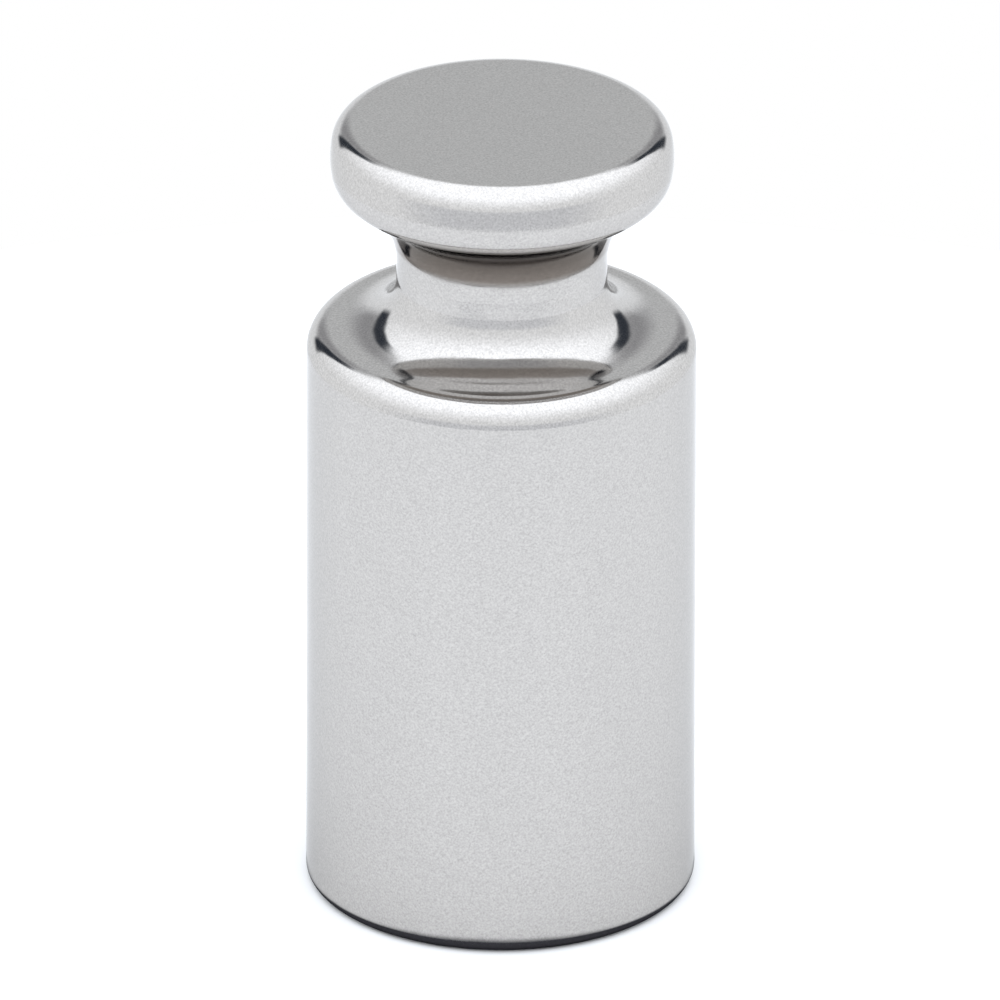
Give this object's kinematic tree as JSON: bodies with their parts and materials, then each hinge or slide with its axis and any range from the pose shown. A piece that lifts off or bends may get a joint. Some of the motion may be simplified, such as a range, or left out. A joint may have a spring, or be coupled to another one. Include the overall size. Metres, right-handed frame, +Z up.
{
  "type": "calibration weight",
  "caption": "Polished cylindrical weight with a waisted neck and a flat round lifting knob, for checking and adjusting a balance.",
  "frame": {"origin": "middle of the flat base, on the surface that the weight stands on", "axes": "+Z up along the turning axis, from the base to the knob; X and Y are equal, as the weight is round"},
  "size_m": [0.0096, 0.0096, 0.0202],
  "materials": {
    "steel": "mirror-polished stainless steel, unplated"
  },
  "bodies": {
    "root": {"weight": "steel"}
  },
  "joints": []
}
